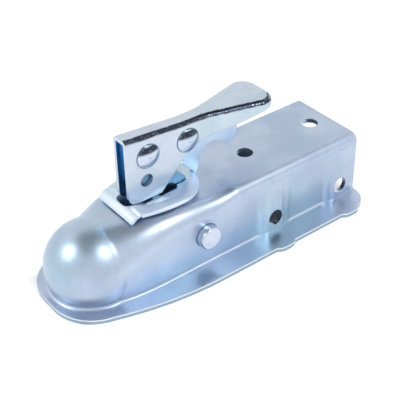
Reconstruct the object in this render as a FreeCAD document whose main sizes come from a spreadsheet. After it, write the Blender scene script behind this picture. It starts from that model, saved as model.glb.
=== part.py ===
"""Trailer coupling head: pressed housing, saddle plate, over-centre lever and ball clamp.

The origin is the centre of the seated ball. +X runs to the open rear end of the
channel, -Y is the side with the round head of the clamp pin, and +Z is up.
"""
import FreeCAD, Part
import math
import os
import re
import Sketcher

doc = FreeCAD.newDocument("CouplingHead")

# Driving dimensions in millimetres and degrees
SIZES = {
    "ball_radius": 23.8,
    "ball_clearance": 0.5,
    "sheet": 3.0,
    "channel_half": 28.3,
    "roof": 28.0,
    "rear_end": 179.7,
    "roof_corner": 5.0,
    "flange_top": -12.7,
    "bend": 2.0,
    "skirt_reach": 60.0,
    "flange_half": 44.5,
    "flange_front": 29.6,
    "front_corner": 27.5,
    "rear_corner": 14.0,
    "shoulder_start": 2.0,
    "shoulder_step": 2.9,
    "shoulder_drop": 1.9,
    "shoulder_corner": 24.8,
    "waist_station": 15.0,
    "waist_step": 0.7,
    "waist_roof": 26.8,
    "waist_corner": 19.0,
    "saddle_station": 26.0,
    "saddle_corner": 15.0,
    "middle_station": 50.0,
    "middle_corner": 10.0,
    "channel_station": 84.0,
    "bolt_hole_dia": 10.25,
    "bolt_first": 112.5,
    "bolt_pitch": 53.5,
    "side_bolt_level": -3.7,
    "swell_half": 13.0,
    "swell_ease": 8.0,
    "swell_reach": 2.6,
    "swell_top": 22.0,
    "swell_fade": 0.3,
    "swell_root": 1.0,
    "bump_ahead": 4.0,
    "bump_half": 9.0,
    "bump_reach": 2.2,
    "bump_corner": 7.0,
    "front_flat": 6.0,
    "flare_start": 8.0,
    "flare_end": 62.0,
    "flange_narrow": 11.6,
    "flare_radius": 212.0,
    "roof_slot_half": 7.4,
    "roof_slot_front": 24.0,
    "roof_slot_rear": 60.0,
    "roof_slot_corner": 5.0,
    "plate": 2.0,
    "saddle_lip": 2.4,
    "saddle_dish": 8.0,
    "saddle_edge": 0.8,
    "saddle_front": 18.2,
    "saddle_roll": 7.0,
    "saddle_front_half": 17.2,
    "saddle_apron_half": 16.4,
    "saddle_half": 20.9,
    "saddle_wide_at": 51.2,
    "saddle_side_radius": 95.0,
    "saddle_slot_half": 6.45,
    "saddle_slot_front": 22.2,
    "saddle_slot_rear": 59.0,
    "saddle_slot_corner": 4.0,
    "lever_sheet": 2.4,
    "lever_gap_half": 3.65,
    "lever_front": 24.5,
    "lever_front_top": 73.8,
    "lever_mid": 64.0,
    "lever_mid_top": 70.5,
    "lever_tail": 125.0,
    "lever_tail_top": 69.8,
    "lever_tail_half": 15.4,
    "lever_tail_deep": 3.4,
    "lever_foot": 31.7,
    "lever_nose": 5.0,
    "lever_heel": 46.6,
    "lever_waist_x": 60.5,
    "lever_waist_z": 46.0,
    "lever_belly_x": 80.0,
    "lever_belly_z": 56.2,
    "lever_belly": 34.0,
    "lever_throat_x": 99.0,
    "lever_throat_z": 59.6,
    "lever_corner": 3.2,
    "lever_spread": 0.95,
    "flare_from": 73.4,
    "flare_run": 9.0,
    "flare_curve": 53.0,
    "tail_corner": 10.5,
    "link_rivet_x": 38.6,
    "link_rivet_z": 59.8,
    "trigger_rivet_x": 65.8,
    "trigger_rivet_z": 59.0,
    "rivet_shank": 4.0,
    "rivet_head": 7.2,
    "rivet_rise": 2.2,
    "rivet_edge": 0.5,
    "rivet_fit": 0.05,
    "lock_x": 37.0,
    "lock_z": 44.3,
    "lock_radius": 4.0,
    "link_thick": 5.0,
    "link_eye": 8.0,
    "link_front": 31.0,
    "link_neck": 33.8,
    "link_rear": 50.2,
    "link_bottom": 27.5,
    "link_tab_rear": 66.0,
    "link_tab_top": 40.0,
    "link_tab_corner": 6.0,
    "stud_radius": 4.6,
    "stud_shoulder": 29.8,
    "stud_end": -14.4,
    "clearance": 0.3,
    "shim_play": 0.1,
    "shim_radius": 6.5,
    "trigger_thick": 3.0,
    "trigger_eye": 6.4,
    "trigger_chin_x": 65.6,
    "trigger_chin_top": 45.4,
    "trigger_chin_low": 39.9,
    "trigger_heel_x": 76.2,
    "trigger_heel_z": 35.6,
    "finger_front_x": 86.8,
    "finger_front_z": 47.7,
    "finger_curve": 11.5,
    "finger_rear_x": 95.0,
    "finger_rear_z": 43.4,
    "hook_low_x": 98.6,
    "hook_low_z": 41.8,
    "hook_curve": 4.2,
    "hook_tip_x": 104.9,
    "hook_tip_z": 48.0,
    "hook_round": 6.3,
    "hook_top": 54.5,
    "trigger_wire": 0.7,
    "tooth_deep": 2.0,
    "clamp_sheet": 3.0,
    "clamp_half": 13.0,
    "clamp_web_top": 4.6,
    "clamp_nose": 17.0,
    "clamp_nose_low": -13.5,
    "clamp_nose_back": 18.1,
    "clamp_eye": 8.5,
    "clamp_swing": 3.2,
    "pin_x": 61.0,
    "pin_z": 7.5,
    "pin_radius": 4.75,
    "pin_head": 7.2,
    "pin_rise": 5.5,
    "pin_edge": 4.1,
    "pin_face": 5.9,
    "pin_peen": 6.4,
    "pin_fit": 0.05,
    "spring_wire": 1.5,
    "spring_coil": 6.6,
    "spring_turns": 4,
    "spring_washer_radius": 10.6,
    "washer_thick": 1.6,
    "washer_radius": 8.6,
    "nut_thick": 8.0,
    "nut_flats_half": 7.1,
    "insert_rise": 1.6,
}

sheet = doc.addObject("Spreadsheet::Sheet", "Sizes")
for row, (alias, value) in enumerate(SIZES.items(), start=1):
    sheet.set("A%d" % row, alias)
    sheet.set("B%d" % row, str(value))
    sheet.setAlias("B%d" % row, alias)
doc.recompute()


def sized(text):
    """Put the sheet's name before each alias in an expression."""
    return re.sub(r"[a-z_]+", lambda word: ("Sizes." if word.group(0) in SIZES else "") + word.group(0), text)


def number(text):
    """Value of an expression in the sheet's sizes."""
    value = sheet.evalExpression(sized(text))
    return float(getattr(value, "Value", value))


def bind(thing, prop, text):
    """Tie one property to an expression in the sheet's sizes."""
    thing.setExpression(prop, sized(text))


def new_body(name):
    """An empty body with its own origin planes."""
    body = doc.addObject("PartDesign::Body", name)
    body.Label = name
    return body


def new_sketch(body, plane, offset="0"):
    """A sketch on one of the body's origin planes, moved along the plane's normal."""
    sketch = body.newObject("Sketcher::SketchObject", body.Name + "_sketch")
    planes = {feature.Role: feature for feature in body.Origin.OriginFeatures}
    sketch.AttachmentSupport = [(planes[plane], "")]
    sketch.MapMode = "FlatFace"
    if offset != "0":
        bind(sketch, "AttachmentOffset.Base.z", offset)
    return sketch


def place_point(sketch, edge, end, across, along):
    """Fix one point of a sketch at two expressions."""
    for kind, text, axis in (("DistanceX", across, -2), ("DistanceY", along, -1)):
        if text == "0":
            sketch.addConstraint(Sketcher.Constraint("PointOnObject", edge, end, axis))
        else:
            index = sketch.addConstraint(Sketcher.Constraint(kind, -1, 1, edge, end, number(text)))
            bind(sketch, "Constraints[%d]" % index, text)


def outline(sketch, points):
    """Closed outline through points: (across, along) or (across, along, radius, side).

    A point with a radius is reached by an arc whose centre lies to the left (side 1)
    or to the right (side -1) of the way there.
    """
    spots = [FreeCAD.Vector(number(point[0]), number(point[1]), 0) for point in points]
    edges = []
    for index, point in enumerate(points):
        start = spots[index - 1]
        end = spots[index]
        if len(point) == 2:
            edges.append(sketch.addGeometry(Part.LineSegment(start, end), False))
            continue
        radius = number(point[2])
        chord = end - start
        rise = math.sqrt(max(radius ** 2 - (chord.Length / 2) ** 2, 0)) / chord.Length
        side = FreeCAD.Vector(-chord.y, chord.x, 0) * rise * point[3]
        centre = (start + end) * 0.5 + side
        first, last = (start, end) if point[3] > 0 else (end, start)
        begin = math.atan2(first.y - centre.y, first.x - centre.x)
        finish = math.atan2(last.y - centre.y, last.x - centre.x)
        circle = Part.Circle(centre, FreeCAD.Vector(0, 0, 1), radius)
        edges.append(sketch.addGeometry(Part.ArcOfCircle(circle, begin, finish), False))
    for index, point in enumerate(points):
        following = points[(index + 1) % len(points)]
        end = 1 if len(point) > 2 and point[3] < 0 else 2
        start = 2 if len(following) > 2 and following[3] < 0 else 1
        edge = edges[index]
        place_point(sketch, edge, end, point[0], point[1])
        next_edge = edges[(index + 1) % len(points)]
        sketch.addConstraint(Sketcher.Constraint("Coincident", edge, end, next_edge, start))
        if len(point) > 2:
            held = sketch.addConstraint(Sketcher.Constraint("Radius", edge, number(point[2])))
            bind(sketch, "Constraints[%d]" % held, point[2])
    return sketch


def rounded(sketch, low, high, half, corner):
    """Rectangle symmetric about the sketch's first axis, with round corners."""
    return outline(sketch, [
        ("%s + %s" % (low, corner), "-(%s)" % half),
        ("%s - %s" % (high, corner), "-(%s)" % half),
        (high, "-(%s - %s)" % (half, corner), corner, 1),
        (high, "%s - %s" % (half, corner)),
        ("%s - %s" % (high, corner), half, corner, 1),
        ("%s + %s" % (low, corner), half),
        (low, "%s - %s" % (half, corner), corner, 1),
        (low, "-(%s - %s)" % (half, corner)),
        ("%s + %s" % (low, corner), "-(%s)" % half, corner, 1),
    ][1:])


def ring(sketch, across, along, radius):
    """A full circle in a sketch."""
    centre = FreeCAD.Vector(number(across), number(along), 0)
    edge = sketch.addGeometry(Part.Circle(centre, FreeCAD.Vector(0, 0, 1), number(radius)), False)
    place_point(sketch, edge, 3, across, along)
    index = sketch.addConstraint(Sketcher.Constraint("Radius", edge, number(radius)))
    bind(sketch, "Constraints[%d]" % index, radius)
    return sketch


def pad(body, sketch, length, both=False, backwards=False):
    """Pad of a sketch, to one side or evenly to both."""
    feature = body.newObject("PartDesign::Pad", body.Name + "_pad")
    feature.Profile = sketch
    if both:
        feature.Midplane = True
    feature.Reversed = backwards
    bind(feature, "Length", length)
    return feature


def turn(body, sketch, axis):
    """Full revolution of a sketch about one of its own axes."""
    feature = body.newObject("PartDesign::Revolution", body.Name + "_turn")
    feature.Profile = sketch
    feature.ReferenceAxis = (sketch, [axis])
    feature.Angle = 360
    return feature


def rod(name, start, axis, radius, length):
    """A cylinder whose start, radius and length are expressions."""
    thing = doc.addObject("Part::Cylinder", name)
    turns = {"X": FreeCAD.Rotation(FreeCAD.Vector(0, 1, 0), 90),
             "Y": FreeCAD.Rotation(FreeCAD.Vector(1, 0, 0), -90),
             "Z": FreeCAD.Rotation()}
    thing.Placement = FreeCAD.Placement(FreeCAD.Vector(), turns[axis])
    for part, text in zip("xyz", start):
        bind(thing, "Placement.Base." + part, text)
    bind(thing, "Radius", radius)
    bind(thing, "Height", length)
    return thing


def joined(name, pieces):
    """Boolean union of several objects."""
    thing = doc.addObject("Part::MultiFuse", name)
    thing.Shapes = pieces
    return thing


def shared(name, pieces):
    """Boolean intersection of several objects."""
    thing = doc.addObject("Part::MultiCommon", name)
    thing.Shapes = pieces
    return thing


def without(name, base, tools):
    """One object with others cut out of it."""
    thing = doc.addObject("Part::Cut", name)
    thing.Base = base
    thing.Tool = tools[0] if len(tools) == 1 else joined(name + "_tools", tools)
    return thing


PARTS = {}


def section(body, station, inset, half, roof, corner):
    """Cross-section of the pressing: flange, wall, shoulder, roof and back down."""
    wall = "(%s - %s)" % (half, inset)
    top = "(%s - %s)" % (roof, inset)
    curve = "(%s - %s)" % (corner, inset)
    foot = "(flange_top - %s)" % inset
    root = "(bend + %s)" % inset
    low = "(flange_top - 3 * sheet)"
    sketch = new_sketch(body, "YZ_Plane", station)
    return outline(sketch, [
        ("-skirt_reach", low),
        ("-skirt_reach", foot),
        ("-%s - %s" % (wall, root), foot),
        ("-" + wall, "%s + %s" % (foot, root), root, 1),
        ("-" + wall, "%s - %s" % (top, curve)),
        ("-%s + %s" % (wall, curve), top, curve, -1),
        ("%s - %s" % (wall, curve), top),
        (wall, "%s - %s" % (top, curve), curve, -1),
        (wall, "%s + %s" % (foot, root)),
        ("%s + %s" % (wall, root), foot, root, 1),
        ("skirt_reach", foot),
        ("skirt_reach", low),
    ])


def dome_profile(body, inset):
    """Half profile of the ball dome, from the pole down to the turned-out flange."""
    radius = "(ball_radius + ball_clearance + sheet - %s)" % inset
    root = "(bend + %s)" % inset
    foot = "(flange_top - %s)" % inset
    level = "(%s + %s)" % (foot, root)
    reach = "sqrt((%s + %s) * (%s + %s) - %s * %s)" % (radius, root, radius, root, level, level)
    share = "%s / (%s + %s)" % (radius, radius, root)
    sketch = new_sketch(body, "XZ_Plane")
    return outline(sketch, [
        ("0", radius),
        ("%s * %s" % (reach, share), "%s * %s" % (level, share), radius, -1),
        (reach, foot, root, 1),
        ("skirt_reach", foot),
        ("skirt_reach", "(flange_top - 3 * sheet)"),
        ("0", "(flange_top - 3 * sheet)"),
    ])


def swelling(body, height, centre, sign, reach, inset):
    """Plan of a pressed swelling at one height: out of the wall and back by two soft arcs each way."""
    wall = "channel_half - %s" % inset
    curve = "((swell_ease ^ 2 + %s ^ 2) / (4 * %s))" % (reach, reach)
    turned = 1 if sign == "-" else -1
    steps = [
        ("swell_half", "-swell_root"),
        ("swell_half", "0"),
        ("(swell_half - swell_ease / 2)", "%s / 2" % reach, curve, turned),
        ("(swell_half - swell_ease)", reach, curve, -turned),
    ]
    points = [("%s - %s" % (centre, step[0]), "%s(%s + %s)" % (sign, wall, step[1])) + step[2:]
              for step in steps]
    back = [("%s + %s" % (centre, step[0]), "%s(%s + %s)" % (sign, wall, step[1]))
            for step in reversed(steps)]
    points += [back[0], back[1] + (curve, -turned), back[2] + (curve, turned), back[3]]
    return outline(new_sketch(body, "XY_Plane", height), points)


def pressing(name, inset):
    """Solid form under one skin of the pressed sheet: dome, shoulder and channel."""
    body = new_body(name)
    turn(body, dome_profile(body, inset), "V_Axis")
    dome_top = "ball_radius + ball_clearance + sheet"
    stations = [
        ("shoulder_start", "channel_half - shoulder_step", dome_top + " - shoulder_drop", "shoulder_corner"),
        ("waist_station", "channel_half - waist_step", "waist_roof", "waist_corner"),
        ("saddle_station", "channel_half", "roof", "saddle_corner"),
        ("middle_station", "channel_half", "roof", "middle_corner"),
        ("channel_station", "channel_half", "roof", "roof_corner"),
    ]
    sketches = [section(body, place, inset, half, roof, corner) for place, half, roof, corner in stations]
    shoulder = body.newObject("PartDesign::AdditiveLoft", name + "_shoulder")
    shoulder.Profile = sketches[0]
    shoulder.Sections = sketches[1:]
    rear = section(body, "channel_station", inset, "channel_half", "roof", "roof_corner")
    pad(body, rear, "rear_end + sheet - channel_station")
    for index in range(2):
        centre = "bolt_first + %d * bolt_pitch" % index
        for sign in ("", "-"):
            low = swelling(body, "flange_top - 3 * sheet", centre, sign, "swell_reach", inset)
            high = swelling(body, "swell_top", centre, sign, "swell_fade", inset)
            swell = body.newObject("PartDesign::AdditiveLoft", name + "_swell")
            swell.Profile = low
            swell.Sections = [high]
    return body


def bored(name, place, radius, half):
    """Cutting rod along Y through both sides of a piece."""
    return rod(name, (place[0], "-(%s)" % half, place[1]), "Y", radius, "2 * (%s)" % half)


def make_housing():
    """The pressed shell, trimmed to the flange outline, with its slot and holes."""
    outside = pressing("housing_outside", "0")
    inside = pressing("housing_inside", "sheet")
    plan = new_body("housing_plan")
    front = "front_flat"
    flare = "(flange_half - flange_narrow)"
    trim = outline(new_sketch(plan, "XY_Plane", "flange_top - sheet"), [
        ("-flange_front", "-" + front),
        ("-flare_start", "-" + flare, "front_corner", 1),
        ("flare_end", "-flange_half", "flare_radius", 1),
        ("rear_end - rear_corner", "-flange_half"),
        ("rear_end", "-(flange_half - rear_corner)", "rear_corner", 1),
        ("rear_end", "flange_half - rear_corner"),
        ("rear_end - rear_corner", "flange_half", "rear_corner", 1),
        ("flare_end", "flange_half"),
        ("-flare_start", flare, "flare_radius", 1),
        ("-flange_front", front, "front_corner", 1),
    ])
    pad(plan, trim, "roof + sheet - flange_top")
    blank = [plan]
    for index in range(2):
        bump = new_body("housing_bump_%d" % index)
        centre = "(bolt_first + %d * bolt_pitch - bump_ahead)" % index
        ear = rounded(new_sketch(bump, "XY_Plane", "flange_top - sheet"), centre + " - bump_half",
                      centre + " + bump_half", "flange_half + bump_reach", "bump_corner")
        pad(bump, ear, "sheet")
        blank.append(bump)
    shell = without("housing_shell", outside, [inside])
    slot = new_body("housing_slot")
    mouth = rounded(new_sketch(slot, "XY_Plane", "roof - 3 * sheet"), "roof_slot_front", "roof_slot_rear",
                    "roof_slot_half", "roof_slot_corner")
    pad(slot, mouth, "6 * sheet")
    notch = new_body("housing_notch")
    narrow = rounded(new_sketch(notch, "XY_Plane", "roof - 3 * sheet"),
                     "roof_slot_rear - 2 * roof_slot_corner", "link_tab_rear + 5 * clearance",
                     "link_thick / 2 + 3 * clearance", "link_thick / 2")
    pad(notch, narrow, "6 * sheet")
    holes = [slot, notch]
    for index in range(2):
        along = "bolt_first + %d * bolt_pitch" % index
        holes.append(rod("roof_hole_%d" % index, (along, "0", "roof - 2 * sheet"), "Z",
                         "bolt_hole_dia / 2", "4 * sheet"))
        holes.append(bored("side_hole_%d" % index, (along, "side_bolt_level"),
                           "bolt_hole_dia / 2", "2 * channel_half"))
    holes.append(bored("pin_hole", ("pin_x", "pin_z"), "pin_radius + pin_fit", "2 * channel_half"))
    trimmed = shared("housing_trimmed", [shell, joined("housing_blank", blank)])
    PARTS["coupler_housing"] = without("coupler_housing", trimmed, holes)


def saddle_plan(body, level, inset):
    """Outline of the saddle plate: nearly straight sides and a round rear."""
    side = "(saddle_half - %s)" % inset
    front = "(saddle_front + saddle_roll + %s)" % inset
    narrow = "(saddle_front_half - %s)" % inset
    middle = "saddle_wide_at"
    sketch = new_sketch(body, "XY_Plane", level)
    return outline(sketch, [
        (front, "-" + narrow),
        (middle, "-" + side, "saddle_side_radius", 1),
        ("%s + %s" % (middle, side), "0", side, 1),
        (middle, side, side, 1),
        (front, narrow, "saddle_side_radius", 1),
    ])


def make_saddle():
    """Spoon shaped plate: flat floor on the roof, raised rim, front apron rolled down."""
    outer = new_body("saddle_outer")
    skirt = outer.newObject("PartDesign::AdditiveLoft", "saddle_skirt")
    skirt.Profile = saddle_plan(outer, "roof", "saddle_dish")
    skirt.Sections = [saddle_plan(outer, "roof + saddle_lip", "0")]
    pad(outer, saddle_plan(outer, "roof + saddle_lip", "0"), "plate")
    inner = new_body("saddle_inner")
    dish = inner.newObject("PartDesign::AdditiveLoft", "saddle_dish")
    dish.Profile = saddle_plan(inner, "roof + plate", "(saddle_dish + saddle_edge)")
    dish.Sections = [saddle_plan(inner, "roof + plate + saddle_lip", "saddle_edge")]
    pad(inner, saddle_plan(inner, "roof + plate + saddle_lip", "saddle_edge"), "plate")
    apron = new_body("saddle_apron")
    rolled = outline(new_sketch(apron, "XZ_Plane"), [
        ("saddle_front", "roof + clearance"),
        ("saddle_front + saddle_roll + saddle_edge", "roof + plate + saddle_lip", "saddle_roll", -1),
        ("saddle_front + saddle_roll + saddle_edge", "roof + saddle_lip"),
        ("saddle_front + plate", "roof + clearance", "saddle_roll - plate", 1),
    ])
    pad(apron, rolled, "2 * saddle_apron_half", both=True)
    slot = new_body("saddle_slot")
    mouth = rounded(new_sketch(slot, "XY_Plane", "roof - plate"), "saddle_slot_front", "saddle_slot_rear",
                    "saddle_slot_half", "saddle_slot_corner")
    pad(slot, mouth, "5 * plate")
    notch = new_body("saddle_notch")
    narrow = rounded(new_sketch(notch, "XY_Plane", "roof - plate"),
                     "saddle_slot_rear - 2 * saddle_slot_corner", "link_tab_rear + 3 * clearance",
                     "link_thick / 2 + 2 * clearance", "link_thick / 2")
    pad(notch, narrow, "5 * plate")
    dished = without("saddle_dished", outer, [inner])
    PARTS["latch_saddle"] = without("latch_saddle", joined("saddle_formed", [dished, apron]), [slot, notch])


def lever_form(name, inset, front):
    """Solid form of the lever in plan and side view, inside its sheet by the inset."""
    plan = new_body(name + "_plan")
    half = "(lever_gap_half + lever_sheet - %s)" % inset
    grip = "(lever_tail_half - %s)" % inset
    end = "(lever_tail - %s)" % inset
    curve = "(tail_corner - %s)" % inset
    spread = "(%s + lever_spread)" % half
    shape = outline(new_sketch(plan, "XY_Plane", "roof"), [
        (front, "-" + half),
        ("flare_from", "-" + half),
        ("flare_from + flare_run", "-" + spread, "flare_curve", -1),
        ("%s - %s" % (end, curve), "-" + grip),
        (end, "-(%s - %s)" % (grip, curve), curve, 1),
        (end, "%s - %s" % (grip, curve)),
        ("%s - %s" % (end, curve), grip, curve, 1),
        ("flare_from + flare_run", spread),
        ("flare_from", half, "flare_curve", -1),
        (front, half),
    ])
    pad(plan, shape, "lever_front_top")
    side = new_body(name + "_side")
    if inset == "0":
        lower = [
            ("lever_front", "lever_foot + lever_nose"),
            ("lever_front + lever_nose", "lever_foot", "lever_nose", 1),
            ("lever_heel", "lever_foot"),
            ("lever_waist_x", "lever_waist_z"),
            ("lever_belly_x", "lever_belly_z", "lever_belly", -1),
            ("lever_throat_x", "lever_throat_z"),
            ("lever_tail", "lever_tail_top - lever_tail_deep"),
        ]
    else:
        lower = [(front, "roof"), ("lever_tail + lever_sheet", "roof")]
    profile = outline(new_sketch(side, "XZ_Plane"), lower + [
        (lower[-1][0], "lever_tail_top - %s" % inset),
        ("lever_mid", "lever_mid_top - %s" % inset),
        (lower[0][0], "lever_front_top - %s" % inset),
    ])
    pad(side, profile, "3 * lever_tail_half", both=True)
    return shared(name, [plan, side])


def edges_along(shape, level, slack):
    """Numbers of the edges that lie wholly above a level line and run along the lever."""
    found = []
    for index, edge in enumerate(shape.Edges, start=1):
        box = edge.BoundBox
        if box.ZMin > level and box.YMin * box.YMax > 0 and box.XLength > slack:
            found.append(index)
    return found


def bent(form, level, radius):
    """The form with its upper lengthwise edges bent to a radius."""
    soft = doc.addObject("Part::Fillet", form.Name + "_bent")
    soft.Base = form
    bend = number(radius)
    soft.Edges = [(index, bend, bend) for index in edges_along(form.Shape, number(level), bend)]
    return soft


def make_lever():
    """Folded sheet lever: two walls and a top that widen to a closed thumb grip."""
    outside = lever_form("lever_outside", "0", "lever_front")
    inside = lever_form("lever_inside", "lever_sheet", "(lever_front - lever_sheet)")
    doc.recompute()
    soft = bent(outside, "lever_tail_top - lever_corner", "lever_corner")
    hollow = bent(inside, "lever_tail_top - lever_corner", "lever_corner - lever_sheet")
    fit = "rivet_shank + rivet_fit"
    holes = [bored("lever_hole_link", ("link_rivet_x", "link_rivet_z"), fit, "lever_tail_half"),
             bored("lever_hole_trigger", ("trigger_rivet_x", "trigger_rivet_z"), fit, "lever_tail_half"),
             bored("lever_hole_lock", ("lock_x", "lock_z"), "lock_radius", "lever_tail_half")]
    PARTS["lever_handle"] = without("lever_handle", soft, [hollow] + holes)


def make_rivet(name, place, shank, near, far, half):
    """Cross pin along Y with a head each side.

    A head is (radius, rise, edge) with a domed face, or has a fourth size, the
    radius of its flat face inside a chamfered rim.
    """
    body = new_body(name)
    body.Placement = FreeCAD.Placement(FreeCAD.Vector(), FreeCAD.Rotation(FreeCAD.Vector(1, 0, 0), -90))
    bind(body, "Placement.Base.x", place[0])
    bind(body, "Placement.Base.z", place[1])
    points = []
    for sign, head in (("-", near), ("", far)):
        radius, rise, edge = head[:3]
        dome = "((%s * %s + (%s - %s) * (%s - %s)) / (2 * (%s - %s)))" % (
            radius, radius, rise, edge, rise, edge, rise, edge)
        rim = [("0", "%s(%s + %s)" % (sign, half, rise)),
               (radius, "%s(%s + %s)" % (sign, half, edge)),
               (radius, "%s(%s)" % (sign, half)),
               (shank, "%s(%s)" % (sign, half))]
        if len(head) > 3:
            rim.insert(1, (head[3], "%s(%s + %s)" % (sign, half, rise)))
            points += rim
        elif sign == "-":
            rim[1] = rim[1] + (dome, 1)
            points += rim
        else:
            rim.reverse()
            rim[3] = rim[3] + (dome, 1)
            points += rim
    turn(body, outline(new_sketch(body, "XZ_Plane"), points), "V_Axis")
    PARTS[name] = body


def make_disc(name, centre, axis, outer, bore, thick):
    """Flat ring: a washer, spacer or insert."""
    solid = rod(name + "_disc", centre, axis, outer, thick)
    hollow = rod(name + "_bore", centre, axis, bore, thick)
    PARTS[name] = without(name, solid, [hollow])


def make_draw_link():
    """Flat plate with an eye and a lock hole, running down into a round stud."""
    plate = new_body("link_plate")
    shape = outline(new_sketch(plate, "XZ_Plane"), [
        ("link_front", "link_neck"),
        ("link_rivet_x - stud_radius", "link_neck"),
        ("link_rivet_x - stud_radius", "stud_shoulder - clearance"),
        ("link_rivet_x + stud_radius", "stud_shoulder - clearance"),
        ("link_rivet_x + stud_radius", "link_neck"),
        ("link_rear", "link_neck"),
        ("link_rear", "link_bottom"),
        ("link_tab_rear - link_tab_corner / 2", "link_bottom"),
        ("link_tab_rear", "link_bottom + link_tab_corner / 2", "link_tab_corner / 2", 1),
        ("link_tab_rear - link_tab_corner", "link_bottom + 1.5 * link_tab_corner", "link_tab_corner", 1),
        ("link_rivet_x + link_eye", "link_tab_top"),
        ("link_rivet_x + link_eye", "link_rivet_z"),
        ("link_rivet_x", "link_rivet_z + link_eye", "link_eye", 1),
        ("link_rivet_x - link_eye", "link_rivet_z", "link_eye", 1),
    ])
    pad(plate, shape, "link_thick", both=True)
    stud = rod("link_stud", ("link_rivet_x", "0", "stud_end"), "Z", "stud_radius", "stud_shoulder - stud_end")
    fit = "rivet_shank + rivet_fit"
    tools = [bored("link_hole_rivet", ("link_rivet_x", "link_rivet_z"), fit, "link_thick"),
             bored("link_hole_lock", ("lock_x", "lock_z"), "lock_radius + clearance", "link_thick")]
    PARTS["draw_link"] = without("draw_link", joined("link_joined", [plate, stud]), tools)


def make_nut():
    """Hexagon nut on the stud, under the clamp."""
    body = new_body("adjuster_nut")
    foot = "clamp_web_top - clamp_sheet - washer_thick - nut_thick"
    sketch = new_sketch(body, "XY_Plane", foot)
    half_side = "nut_flats_half / sqrt(3)"
    outline(sketch, [
        ("link_rivet_x + 2 * " + half_side, "0"),
        ("link_rivet_x + " + half_side, "nut_flats_half"),
        ("link_rivet_x - " + half_side, "nut_flats_half"),
        ("link_rivet_x - 2 * " + half_side, "0"),
        ("link_rivet_x - " + half_side, "-nut_flats_half"),
        ("link_rivet_x + " + half_side, "-nut_flats_half"),
    ])
    pad(body, sketch, "nut_thick")
    bore = rod("nut_bore", ("link_rivet_x", "0", foot), "Z", "stud_radius + rivet_fit", "nut_thick")
    PARTS["adjuster_nut"] = without("adjuster_nut_bored", body, [bore])


def make_trigger():
    """Flat trigger plate: eye, latch foot behind the saddle rim and a hooked finger rest."""
    plate = new_body("trigger_plate")
    catch = "(saddle_wide_at + saddle_half + clearance)"
    shape = outline(new_sketch(plate, "XZ_Plane"), [
        ("trigger_chin_x", "trigger_chin_top"),
        ("trigger_chin_x", "trigger_chin_low"),
        (catch, "roof + plate + saddle_lip + clearance"),
        (catch, "roof + clearance"),
        (catch + " + tooth_deep", "roof + clearance"),
        ("trigger_heel_x", "trigger_heel_z"),
        ("finger_front_x", "finger_front_z", "finger_curve", -1),
        ("finger_rear_x", "finger_rear_z", "finger_curve", -1),
        ("hook_low_x", "hook_low_z", "hook_curve", 1),
        ("hook_tip_x", "hook_tip_z", "hook_round", 1),
        ("hook_tip_x", "hook_top"),
        ("trigger_rivet_x", "trigger_rivet_z + trigger_eye"),
        ("trigger_rivet_x - trigger_eye", "trigger_rivet_z", "trigger_eye", 1),
    ])
    pad(plate, shape, "trigger_thick", both=True)
    hole = bored("trigger_hole", ("trigger_rivet_x", "trigger_rivet_z"), "rivet_shank + rivet_fit",
                 "trigger_thick")
    PARTS["trigger"] = without("trigger", plate, [hole])


def make_clamp():
    """Pressed tongue: spherical nose on the ball, slotted web for the stud, eye on the pin."""
    block = new_body("clamp_block")
    shape = outline(new_sketch(block, "XZ_Plane"), [
        ("clamp_nose", "clamp_nose_low"),
        ("clamp_nose + 3 * clamp_sheet", "clamp_nose_low"),
        ("pin_x - clamp_sheet", "pin_z - clamp_eye"),
        ("pin_x", "pin_z - clamp_eye"),
        ("pin_x + clamp_eye", "pin_z", "clamp_eye", 1),
        ("pin_x", "pin_z + clamp_eye", "clamp_eye", 1),
        ("pin_x - clamp_eye", "clamp_web_top", "1.05 * clamp_eye", 1),
        ("clamp_nose", "clamp_web_top"),
    ])
    pad(block, shape, "2 * clamp_half", both=True)
    inner = new_body("clamp_inner")
    hollow = outline(new_sketch(inner, "XZ_Plane"), [
        ("clamp_nose_back", "3 * clamp_nose_low"),
        ("pin_x + 2 * clamp_eye", "3 * clamp_nose_low"),
        ("pin_x + 2 * clamp_eye", "clamp_web_top + 2 * clamp_eye"),
        ("pin_x - clamp_eye - clamp_sheet / 2", "clamp_web_top + 2 * clamp_eye"),
        ("pin_x - clamp_eye - clamp_sheet / 2", "clamp_web_top - clamp_sheet"),
        ("ball_radius + ball_clearance + clamp_sheet", "clamp_web_top - clamp_sheet"),
    ])
    pad(inner, hollow, "2 * (clamp_half - clamp_sheet)", both=True)
    seat = doc.addObject("Part::Sphere", "clamp_seat")
    bind(seat, "Radius", "ball_radius + ball_clearance")
    seat.Placement = FreeCAD.Placement(FreeCAD.Vector(), FreeCAD.Rotation(FreeCAD.Vector(0, 0, 1), 180))
    slot = new_body("clamp_slot")
    mouth = rounded(new_sketch(slot, "XY_Plane", "clamp_web_top - 2 * clamp_sheet"),
                    "link_rivet_x - stud_radius - clamp_swing", "link_rivet_x + stud_radius + 2 * clearance",
                    "stud_radius + 2 * clearance", "stud_radius")
    pad(slot, mouth, "3 * clamp_sheet")
    PARTS["ball_clamp"] = without("ball_clamp", block, [
        inner, seat, slot, bored("clamp_hole", ("pin_x", "pin_z"), "pin_radius + pin_fit", "2 * clamp_half")])


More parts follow.
